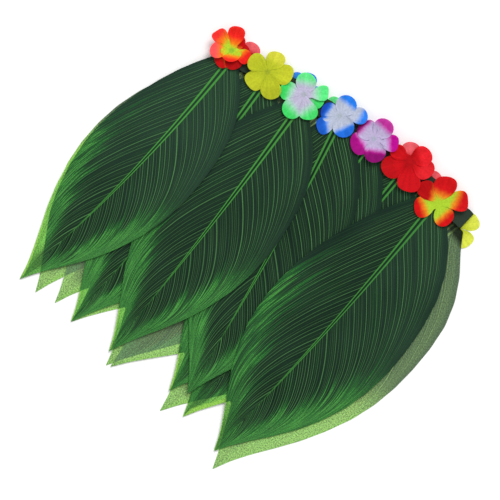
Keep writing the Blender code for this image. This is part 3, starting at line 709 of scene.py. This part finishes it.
def leaf_shares(leaf, along, side):
    """Half width of a leaf, in metres, at shares of its length, on a smooth curve through its cut."""
    place = along - leaf.belly / 100 * np.sin(np.pi * along)
    known = np.array([row.along for row in LEAF_CUT])
    width = np.array([getattr(row, side) for row in LEAF_CUT])
    fine = np.linspace(0, 1, 401)
    curve = np.interp(fine, known, width)
    weights = np.hanning(17)
    weights /= weights.sum()
    padded = np.concatenate((2 * curve[0] - curve[8:0:-1], curve, 2 * curve[-1] - curve[-2:-10:-1]))
    curve = np.convolve(padded, weights, mode="valid")
    return getattr(leaf, side) * MM * np.interp(place, fine, curve)


def half_width(leaf, along, on_left):
    """Half width of a leaf on the side that each place is on."""
    return np.where(on_left, leaf_shares(leaf, along, "left"), leaf_shares(leaf, along, "right"))


def leaf_axes(leaf):
    """A leaf's sewn end, seen from above, and the directions down it and to its left."""
    lean = math.radians(leaf.lean)
    base = np.array(on_waist(leaf.station * MM, leaf.lift * MM))
    return base, np.array((math.sin(lean), -math.cos(lean))), np.array((-math.cos(lean), -math.sin(lean)))


def midrib(leaf, along):
    """Points of a leaf's bowed midrib at shares of its length, and the way that it runs there."""
    base, down, left = leaf_axes(leaf)
    length, bow = leaf.length * MM, leaf.bow * MM
    rib = base + down * (length * along)[..., None] + left * (4 * bow * along * (1 - along))[..., None]
    return rib, down + left * (4 * bow * (1 - 2 * along) / length)[..., None]


def leaf_plan(leaf, along, across):
    """Places seen from above, and distances from the midrib, for grids of shares along and across."""
    rib, run = midrib(leaf, along)
    run /= np.linalg.norm(run, axis=-1, keepdims=True)
    right = np.stack((-run[..., 1], run[..., 0]), axis=-1)
    half = half_width(leaf, along, across < 0)
    aside = across * half
    return rib + right * aside[..., None], aside, half


def depth_inside(leaf, plan):
    """How far places seen from above lie inside a leaf's outline, in metres; negative outside it."""
    base, down, left = leaf_axes(leaf)
    along = (plan - base) @ down / (leaf.length * MM)
    for _ in range(3):
        along = np.clip(along, 0, 1)
        rib, run = midrib(leaf, along)
        away = plan - rib
        along = along + (away * run).sum(axis=-1) / (leaf.length * MM)
    return half_width(leaf, along, away @ left > 0) - np.linalg.norm(away, axis=-1)


def leaves_below(leaf, plan):
    """How far places lie inside the outline of any leaf that is laid down before this one."""
    laid = BACK_LEAVES + FRONT_LEAVES
    before = laid[:laid.index(leaf)]
    if not before:
        return np.full(plan.shape[:2], -1.0)
    return np.max([depth_inside(other, plan) for other in before], axis=0)


def vein_run(across, right):
    """How far down a side vein has run at a share of the half width.

    On the right it bends to follow the margin.
    """
    share = np.abs(across)
    bent = share + 0.17 * share**3 - 0.5 * np.log(1 - (share / 1.03) ** 5)
    return np.where(right, bent, share + 0.28 * share**2)


def green_fields(leaf, along, outer, right, inside, back):
    """How green and how lime the print is. On the leaves of the back both set in later."""
    late = LATE_GREEN if back else 0.0
    inner = np.where(right, GREEN_INNER[1], GREEN_INNER[0]) - GREEN_INNER_DROP * smooth(0.45, 0.95, along)
    begun = smooth(*(GREEN_RIGHT_BACK if back else GREEN_RIGHT), along)
    starts = np.where(right, begun, smooth(*GREEN_LEFT, along - late))
    plain = smooth(*PLAIN_MARGIN, outer) * (1 - smooth(*PLAIN_ENDS, along))
    glow = smooth(inner, inner + 0.5, outer) * starts * (1 - 0.8 * plain)
    glow = glow * np.where(right, leaf.glow_right, leaf.glow_left)
    glow = np.maximum(glow, 0.7 * smooth(*ALL_GREEN, along))
    strength = np.where(right, leaf.lime_right, leaf.lime_left)
    wide = strength * LIME_STEP * sum(smooth(*span, along) for span in LIME_WIDENS) + 0.05 * MM
    lime = (1 - smooth(0.35, 1.35, inside / wide)) * smooth(*LIME_SETS_IN, along - late)
    return glow, lime * np.minimum(1, strength * 3)


def leaf_print(leaf, along, across, aside, half, spacing, back):
    """The fields that the leaf's print is drawn from. The station sets each leaf's own veins and streaks."""
    right = across >= 0
    outer = np.abs(across)
    glow, lime = green_fields(leaf, along, outer, right, half - np.abs(aside), back)

    # source: where on the midrib the side vein through a place comes from
    broad = (leaf.left + leaf.right) / 2 / leaf.length * (0.62 + 0.38 * np.sin(np.pi * along**0.9))
    open_left, open_right = (angle - fall * along for angle, fall in VEIN_ANGLE)
    open_angle = np.radians(np.where(right, open_right, open_left))
    source = (along - broad / np.tan(open_angle) * vein_run(across, right)) * leaf.length * MM
    vein = source / spacing
    begins = np.where(right, smooth(*VEINS_BEGIN[1], source), smooth(*VEINS_BEGIN[0], source))
    finer = np.where(right, smooth(*VEINS_FINER, along), 0.0)
    strength = begins * (1 - 0.7 * lime) * np.where(right, VEIN_STRENGTH[1] - 0.22 * finer, VEIN_STRENGTH[0])
    strength = np.where(np.abs(aside) < rib_gap(along), 0.0, strength)
    outermost = smooth(0.9 if back else 0.6, 1.0, outer) * (1 - np.clip(glow, 0, 1))
    down = leaf.length * MM * np.gradient(along, axis=0)
    slope_across = np.gradient(vein, axis=1) / np.gradient(aside, axis=1)
    slope_down = (np.gradient(vein, axis=0) - slope_across * np.gradient(aside, axis=0)) / down
    gap = 1 / np.hypot(slope_across, slope_down)

    # each leaf's painted light and shade, fading out down the leaf
    shading_left, shading_right = GROUND_LIGHT_AND_SHADE.get(leaf.node, (0.0, 0.0))
    tone = np.where(right, shading_right, shading_left) * (1 - smooth(0.2, 0.75, along))
    # towards the margins the ground is drawn paler, partly as painted sheen; on the leaves of the front it is
    # also paler towards the sewn end
    light_ground = 0.6 * outer if back else 0.3 * outer - 0.7 * (along - 0.2) + tone
    dense = 1.0 if back else 1 - 0.6 * smooth(0.82, 0.94, along)
    rib = 0.7 * (1 - smooth(0.5, RIB_ENDS, along)) + 0.3 * (1 - smooth(0.7, RIB_ENDS, along))
    # painted shade also dims the midrib near the sewn end
    rib = rib * (1 + 0.6 * min(shading_left, 0.0) * (1 - smooth(0.3, 0.7, along)))
    return {
        "vein": vein + np.where(right, 0.0, HALVES_APART) + abs(leaf.station) * 0.37,
        "vein_gap": gap / MM,
        "vein_strength": strength * (1 - 0.8 * outermost),
        "brought": np.clip(0.15 + 0.6 * glow + 0.6 * finer + (0.4 if back else 0.0), 0, 1),
        "flow": source / (10 * MM) + np.where(right, 0.0, HALVES_APART),
        "open": smooth(0.0, 0.8, np.maximum(glow * dense, lime)) * (1 - 0.3 * smooth(0.93, 0.985, along)),
        "rib_offset": (np.abs(aside) - rib_gap(along)) / (RIB_HALF * (1 - 0.64 * smooth(0.0, 0.55, along))),
        "rib_strength": rib,
        "glow": glow,
        "lime": lime,
        "light_ground": light_ground,
        "along": along + leaf.station * 0.013,
    }


def crease_height(leaf, along, across):
    """The soft creases of one leaf."""
    height = np.zeros(along.shape)
    wide = (leaf.left + leaf.right) / 2
    for crease in (row for row in CREASES if row.node == leaf.node):
        start = np.array((crease.from_along * leaf.length, crease.from_across * wide))
        run = np.array((crease.to_along * leaf.length, crease.to_across * wide)) - start
        spot = np.stack((along * leaf.length, across * wide), axis=-1) - start
        share = np.clip(spot @ run / (run @ run), 0, 1)
        away = np.linalg.norm(spot - share[..., None] * run, axis=-1)
        ends = np.sin(np.pi * (0.1 + 0.8 * share))
        height -= crease.depth * MM * np.exp(-((away / crease.spread) ** 2)) * ends
    return height


def leaf_waves(leaf, along, across, aside, settings):
    """Soft waves of the cloth, stronger at the margin, and the pressed midrib lines."""
    turn = leaf.station * 0.7
    slow = np.sin(9 * along + turn) * np.cos(2.4 * across + turn)
    slow = slow + 0.6 * np.sin(17 * along - 3.1 * across + turn)
    flutter = np.sin(31 * along + 1.7 * turn + np.where(across < 0, 0.0, 2.0))
    flutter = flutter * smooth(0.55, 1.0, np.abs(across))
    rib = np.exp(-(((np.abs(aside) - rib_gap(along)) / RIB_PRESSED) ** 2)) * (1 - smooth(0.6, 0.95, along))
    fade = smooth(0.0, 0.12, along)
    lift_left, lift_right = LOOSE_MARGINS.get(leaf.node, (0, 0))
    loose = np.where(across < 0, lift_left, lift_right) * MM * smooth(0.72, 1.0, np.abs(across)) ** 2
    loose = loose * smooth(0.05, 0.25, along) * (0.8 + 0.2 * np.sin(7 * along + turn))
    return (settings.wave * (0.6 * slow + 0.9 * flutter) + settings.rib_height * rib) * fade + loose


def make_leaf(leaf, settings, face_up, materials):
    """One leaf: a thin shell on its solid's form."""
    rows, columns = settings.rows, settings.columns
    even = np.linspace(-1, 1, columns + 1)
    spread = np.sign(even) * np.abs(even) ** CROWDING
    length_share = np.linspace(0, 1, rows + 1)
    length_share[-1] = TIP
    along, across = np.meshgrid(length_share, spread, indexing="ij")
    plan, aside, half = leaf_plan(leaf, along, across)
    solid = Solid(leaf.node)
    toward = plan[np.clip(np.arange(rows + 1), END_ROWS, rows - END_ROWS), columns // 2]
    heights = np.array([
        [solid.height(*plan[i, j], toward=toward[i]) for j in range(columns + 1)] for i in range(rows + 1)
    ])
    heights = soften(heights, FACET_ROUNDS) - WALL / 2
    heights += crease_height(leaf, along, across) + leaf_waves(leaf, along, across, aside, settings)
    thing = add_grid(leaf.node + "_cloth", rows, columns)
    set_points(thing, np.concatenate((plan, heights[..., None]), axis=-1))
    thing.data.flip_normals()
    printed = leaf_print(leaf, along, across, aside, half, settings.vein_spacing, not face_up)
    # here the painted light from the floor and the lime edge are drawn over the leaves below, as on a single
    # layer
    lit_reach = np.where(across < 0, LIT_MARGIN.get(leaf.node, 0.0), 0.0)
    lit_reach = lit_reach * smooth(*LIT_MARGIN_BEGINS, along) * (1 - smooth(*LIT_MARGIN_ENDS, along))
    printed["below"] = leaves_below(leaf, plan) / MM - lit_reach
    for name, values in printed.items():
        set_field(thing, name, values)
    set_cut(thing, aside, along * leaf.length * MM)
    thicken(thing, settings.thickness, materials if face_up else materials[::-1], 1)
    wide = leaf_shares(leaf, length_share, "left") + leaf_shares(leaf, length_share, "right")
    declare(thing, leaf.node)
    return thing


# ================================================================ blossoms

EYE_ROWS = 4
PETAL_ROWS = 16
PETAL_COLUMNS = 20
WELD = 0.02 * MM
SQUARE_END = 0.05          # how far the corners of a petal's end stand out, as a share of its radius
PARTS_BY = 0.35            # share of a petal, from the eye, at which it is free of its neighbours
LOOSE_FROM = 0.12          # share of a petal from which its cloth lies softer than its solid
OVERLAP_LIFT = 0.35 * MM   # how far a flank rises over the neighbour's, or drops under it
EYE_DIP = 0.25 * MM        # depth of the pressed spot in the middle of the eye
EYE_DIP_RADIUS = 3.2 * MM


def petal_edge(petal, off):
    """Radius of a petal's outline at angles off its axis: straight flanks and a round end."""
    ball = petal.breadth / 2 * MM
    centre = petal.reach * MM - ball
    inside = np.maximum(ball**2 - (centre * np.sin(off)) ** 2, 0)
    return centre * np.cos(off) + np.sqrt(inside)


def make_petal(blossom, number, solid, settings):
    """One petal from the middle of the eye to its tip, a grid that is later welded to its neighbours."""
    petals = sorted(blossom.petals, key=lambda row: row.direction % 360)
    petal, before, after = petals[number], petals[number - 1], petals[(number + 1) % len(petals)]
    axis = math.radians(petal.direction % 360)
    gap_before = math.radians((petal.direction - before.direction) % 360) / 2
    gap_after = math.radians((after.direction - petal.direction) % 360) / 2
    ball = petal.breadth / 2
    flank = math.asin(min(1.0, ball / max(ball, petal.reach - ball)))
    eye = min(settings.eye, 0.45 * petal.reach * MM)

    # the outline, seen from above
    side = np.linspace(-1, 1, PETAL_COLUMNS + 1)
    reach = np.concatenate((np.linspace(0, 1, EYE_ROWS + 1) - 1, np.linspace(0, 1, PETAL_ROWS + 1)[1:]))
    out, across = np.meshgrid(reach, side, indexing="ij")
    shared = across * np.where(across < 0, gap_before, gap_after)
    own = flank * np.sin(across * np.pi / 2)
    opened = smooth(0.0, PARTS_BY, out)
    off = shared * (1 - opened) + own * opened
    edge = petal_edge(petal, own)
    edge = edge * (1 + SQUARE_END * np.sin(np.pi * across) ** 2)
    ragged = 0.025 * np.sin(3.1 * across + petal.direction) + 0.018 * np.sin(6.3 * across + petal.reach)
    edge = edge * (1 + ragged)
    radius = np.where(out < 0, (1 + out) * eye, eye + out * (edge - eye))
    centre = np.array(on_waist(blossom.station * MM, blossom.lift * MM))
    plan = centre + radius[..., None] * np.stack((np.cos(axis + off), np.sin(axis + off)), axis=-1)

    # the form, over the solid
    heights = np.array([[solid.height(*place, toward=centre) for place in row] for row in plan])
    share = np.clip(out, 0, 1)
    loose = soften(heights, 3)
    heights = np.where(out > LOOSE_FROM, loose, heights) - WALL / 2
    rise = petal.rise + 0.01 * number
    higher_after = 1 if rise >= after.rise + 0.01 * ((number + 1) % 5) else -1
    higher_before = 1 if rise > before.rise + 0.01 * ((number - 1) % 5) else -1
    flank_lift = np.where(across > 0, higher_after, higher_before) * smooth(0.3, 1.0, np.abs(across))
    heights += OVERLAP_LIFT * flank_lift * smooth(0.0, 0.4, share)
    heights += settings.crinkle * np.sin(11 * across + petal.direction) * share
    heights += settings.ruffle * np.sin(6.5 * across + 2.1 * petal.direction) * share**4
    heights += petal.curl * MM * smooth(0.55, 1.0, share) * (1 - 0.5 * across**2)
    heights -= EYE_DIP * np.exp(-((radius / EYE_DIP_RADIUS) ** 2))
    thing = add_grid(f"{blossom.node}_petal_{number}", len(reach) - 1, PETAL_COLUMNS)
    set_points(thing, np.concatenate((plan, heights[..., None]), axis=-1))

    # what the dye, its painted light and shade, and the painted shade between the petals are drawn from
    far = radius * np.cos(off) / (petal.reach * MM)
    # painted shade where the petals part, near the eye
    shade_between_petals = smooth(0.8, 1.0, np.abs(across)) * (1 - smooth(0.1, 0.8, share)) * smooth(0.1, 0.3, far)
    set_field(thing, "dye", far - petal.start + petal.skew * across * smooth(0.1, 0.6, far))
    set_field(thing, "deep", np.full(out.shape, petal.deep))
    set_field(thing, "pale", np.full(out.shape, petal.pale))
    set_field(thing, "radius", radius)
    set_field(thing, "fan", across + 2.0 * number)
    set_field(thing, "shade_between_petals", shade_between_petals)
    set_cut(thing, *(np.moveaxis(plan - centre, -1, 0)))
    return thing


def make_blossom(blossom, settings, materials):
    """One blossom: five petals of one cloth, parted down to the eye."""
    solid = Solid(blossom.node)
    petals = [make_petal(blossom, number, solid, settings) for number in range(len(blossom.petals))]
    bpy.ops.object.select_all(action="DESELECT")
    for petal in petals:
        petal.select_set(True)
    thing = petals[0]
    bpy.context.view_layer.objects.active = thing
    bpy.ops.object.join()
    thing.name = thing.data.name = blossom.node + "_cloth"
    bpy.ops.object.mode_set(mode="EDIT")
    bpy.ops.mesh.select_all(action="SELECT")
    bpy.ops.mesh.remove_doubles(threshold=WELD)
    bpy.ops.mesh.normals_make_consistent(inside=False)
    bpy.ops.object.mode_set(mode="OBJECT")
    upright = sum(face.normal.z * face.area for face in thing.data.polygons)
    if upright < 0:
        thing.data.flip_normals()
    thicken(thing, settings.thickness, [materials[blossom.dye]], 0)
    declare(thing, blossom.node)
    return thing


# ================================================================ band

BAND_STATIONS = 150
BAND_ACROSS = 8
BAND_EDGE = 0.4 * MM       # how far the ribbon's edges lie inside its solid's
BAND_FRAY = 0.25 * MM
FOLD_TURNS = 8
FOLD_REACH = 1.2           # how far a fold stands out, in half its height


def band_run(solid, up):
    """The ribbon's upper run, or its lower one, as rows of points from end to end."""
    rows = []
    for station in np.linspace(-WAIST_FLAT / 2, WAIST_FLAT / 2, BAND_STATIONS + 1):
        row = []
        for share in np.linspace(-1, 1, BAND_ACROSS + 1):
            fray = BAND_FRAY * math.sin(900 * station + 2 * share) * abs(share) ** 6
            x, y = on_waist(station, share * (BAND_WIDTH / 2 - BAND_EDGE) + fray)
            toward = on_waist(station * 0.96, 0)
            row.append((x, y, solid.height(x, y, toward, up) + (WALL / 2 if up else -WALL / 2)))
        rows.append(row)
    points = np.array(rows)
    points[..., 2] = soften(points[..., 2], 3)
    return points


def band_fold(upper, lower, side):
    """The soft fold at one end: down from the upper run on the right, up from the lower on the left."""
    angle = side * (WAIST_FLAT / 2) / WAIST_RADIUS
    out = np.array((math.cos(angle), -math.sin(angle))) * side
    middle, room = (upper + lower) / 2, (upper[:, 2] - lower[:, 2]) / 2
    rows = []
    for step in range(1, FOLD_TURNS):
        turn = math.pi * step / FOLD_TURNS
        row = middle.copy()
        row[:, :2] += out * (room * math.sin(turn))[:, None] * FOLD_REACH
        row[:, 2] = middle[:, 2] + np.cos(turn) * room * side
        rows.append(row)
    return rows


def make_band(settings, material):
    """The ribbon loop: its upper run, a soft fold, its lower run and the other fold."""
    solid = Solid("waist_band")
    upper, lower = band_run(solid, False), band_run(solid, True)
    points = np.array([
        *upper, *band_fold(upper[-1], lower[-1], 1), *lower[::-1], *band_fold(upper[0], lower[0], -1)])
    count, wide = len(points), BAND_ACROSS + 1
    mesh = bpy.data.meshes.new("waist_band_ribbon")
    faces = [
        (i * wide + j, i * wide + j + 1, ((i + 1) % count) * wide + j + 1, ((i + 1) % count) * wide + j)
        for i in range(count) for j in range(BAND_ACROSS)
    ]
    mesh.from_pydata(points.reshape(-1, 3).tolist(), [], faces)
    thing = bpy.data.objects.new("waist_band_ribbon", mesh)
    bpy.context.scene.collection.objects.link(thing)
    bpy.ops.object.select_all(action="DESELECT")
    thing.select_set(True)
    bpy.context.view_layer.objects.active = thing
    step = np.linalg.norm(np.diff(points[:, wide // 2], axis=0), axis=1)
    along = np.concatenate(((0,), np.cumsum(step)))
    set_cut(thing, np.repeat(along, wide), np.tile(np.linspace(-1, 1, wide) * BAND_WIDTH / 2, count))
    if thing.data.polygons[0].normal.z < 0:
        thing.data.flip_normals()
    thicken(thing, settings.thickness, [material], 0)
    declare(thing, "waist_band")
    return thing


# ================================================================ operators

FLOOR_SIZE = 6
LAMP_FROM = (0.7, 1.3, 1.9)    # to the right of the picture's middle, towards its top and up, in metres
SENSOR = 36                    # width of the camera's sensor in millimetres


class SKIRT_OT_stage(bpy.types.Operator):
    """Adds the floor, the soft light and the camera"""
    bl_idname = "skirt.stage"
    bl_label = "Stage"

    def execute(self, context):
        settings = context.scene.skirt_stage
        bpy.ops.object.select_all(action="DESELECT")
        bpy.ops.mesh.primitive_plane_add(size=FLOOR_SIZE, location=(0, 0, 0))
        floor = context.object
        floor.name = floor.data.name = "floor"
        material, tree, shader = new_material("matt card")
        set_inputs(tree, shader, {"Base Color": rgba(settings.floor), "Roughness": 0.9,
                                  "Specular IOR Level": 0.1})
        floor.data.materials.append(material)

        world = bpy.data.worlds.new("even light")
        world.use_nodes = True
        set_inputs(world.node_tree, world.node_tree.nodes["Background"],
                   {"Color": (1, 1, 1, 1), "Strength": settings.sky})
        context.scene.world = world
        context.scene.view_settings.view_transform = "Standard"

        turn = settings.picture_turn
        right = Vector((math.cos(turn), math.sin(turn), 0))
        top = Vector((-math.sin(turn), math.cos(turn), 0))
        middle = Vector((*settings.picture_middle, 0))
        place = middle + top * LAMP_FROM[1] + right * LAMP_FROM[0] + Vector((0, 0, LAMP_FROM[2]))
        bpy.ops.object.light_add(type="SUN", location=place)
        lamp = context.object
        lamp.name = "soft lamp"
        lamp.data.angle = settings.key_size
        lamp.data.energy = settings.key
        lamp.rotation_euler = (middle - place).to_track_quat("-Z", "Y").to_euler()

        height = settings.picture_width * settings.lens / SENSOR
        bpy.ops.object.camera_add(location=middle + Vector((0, 0, height)), rotation=(0, 0, turn))
        camera = context.object
        camera.name = "camera"
        camera.data.lens = settings.lens
        camera.data.sensor_width = SENSOR
        camera.data.clip_start, camera.data.clip_end = 0.05, 20
        context.scene.camera = camera
        return {"FINISHED"}


def lay_leaves(context, leaves, face_up):
    """Makes leaves in order. Their two materials, the printed face and the reverse, are made once."""
    cloth = context.scene.skirt_leaf
    face = bpy.data.materials.get("leaf cloth face") or leaf_cloth_material(
        "leaf cloth face", cloth, cloth.ground, cloth.ground_light, cloth.vein, cloth.rib, cloth.glow,
        cloth.glow_bright, cloth.lime, cloth.through_face, FACE_GRAIN)
    reverse = bpy.data.materials.get("leaf cloth reverse") or leaf_cloth_material(
        "leaf cloth reverse", cloth, cloth.reverse_ground, cloth.reverse_light, cloth.reverse_vein,
        cloth.reverse_vein, cloth.reverse_glow, cloth.reverse_lime, cloth.reverse_lime,
        cloth.through_reverse, REVERSE_GRAIN)
    for leaf in leaves:
        make_leaf(leaf, cloth, face_up, [face, reverse])
    return {"FINISHED"}


def lay_blossoms(context, blossoms):
    """Makes blossoms in order. The material of each dye is made once."""
    settings = context.scene.skirt_blossom
    materials = {}
    for dye in DYES:
        name = f"petal cloth {dye.name}"
        materials[dye.name] = bpy.data.materials.get(name) or petal_cloth_material(name, dye, settings)
    for blossom in blossoms:
        make_blossom(blossom, settings, materials)
    return {"FINISHED"}


class SKIRT_OT_back_blossoms(bpy.types.Operator):
    """Lays the blossoms of the back, face down"""
    bl_idname = "skirt.back_blossoms"
    bl_label = "Back Blossoms"

    def execute(self, context):
        return lay_blossoms(context, BACK_BLOSSOMS)


class SKIRT_OT_back_leaves(bpy.types.Operator):
    """Lays the leaves of the back, printed face down"""
    bl_idname = "skirt.back_leaves"
    bl_label = "Back Leaves"

    def execute(self, context):
        return lay_leaves(context, BACK_LEAVES, False)


class SKIRT_OT_band(bpy.types.Operator):
    """Lays the ribbon loop"""
    bl_idname = "skirt.band"
    bl_label = "Waistband"

    def execute(self, context):
        settings = context.scene.skirt_band
        make_band(settings, ribbon_material(settings))
        return {"FINISHED"}


class SKIRT_OT_front_leaves(bpy.types.Operator):
    """Lays the leaves of the front, printed face up"""
    bl_idname = "skirt.front_leaves"
    bl_label = "Front Leaves"

    def execute(self, context):
        return lay_leaves(context, FRONT_LEAVES, True)


class SKIRT_OT_front_blossoms(bpy.types.Operator):
    """Lays the blossoms of the front and the petals under them"""
    bl_idname = "skirt.front_blossoms"
    bl_label = "Front Blossoms"

    def execute(self, context):
        return lay_blossoms(context, FRONT_BLOSSOMS)


class SKIRT_PT_panel(bpy.types.Panel):
    """Lists the steps in the order in which the skirt is laid down"""
    bl_idname = "SKIRT_PT_panel"
    bl_label = "Leaf Skirt"
    bl_space_type = "VIEW_3D"
    bl_region_type = "UI"
    bl_category = "Leaf Skirt"

    def draw(self, context):
        column = self.layout.column()
        for step in STEPS:
            column.operator(step.bl_idname)
        for group in ("skirt_leaf", "skirt_blossom", "skirt_band", "skirt_stage"):
            settings = getattr(context.scene, group)
            box = self.layout.box()
            for name in settings.__annotations__:
                box.prop(settings, name)


STEPS = (SKIRT_OT_stage, SKIRT_OT_back_blossoms, SKIRT_OT_back_leaves, SKIRT_OT_band, SKIRT_OT_front_leaves,
         SKIRT_OT_front_blossoms)
GROUPS = {
    "skirt_leaf": SkirtLeafSettings,
    "skirt_blossom": SkirtBlossomSettings,
    "skirt_band": SkirtBandSettings,
    "skirt_stage": SkirtStageSettings,
}


def register():
    for group in (*GROUPS.values(), *STEPS, SKIRT_PT_panel):
        bpy.utils.register_class(group)
    for name, group in GROUPS.items():
        setattr(bpy.types.Scene, name, bpy.props.PointerProperty(type=group))


def unregister():
    for name in GROUPS:
        delattr(bpy.types.Scene, name)
    for group in (SKIRT_PT_panel, *reversed(STEPS), *reversed(GROUPS.values())):
        bpy.utils.unregister_class(group)


def main():
    register()
    for step in STEPS:
        family, action = step.bl_idname.split(".")
        getattr(getattr(bpy.ops, family), action)()


if __name__ == "__main__":
    main()
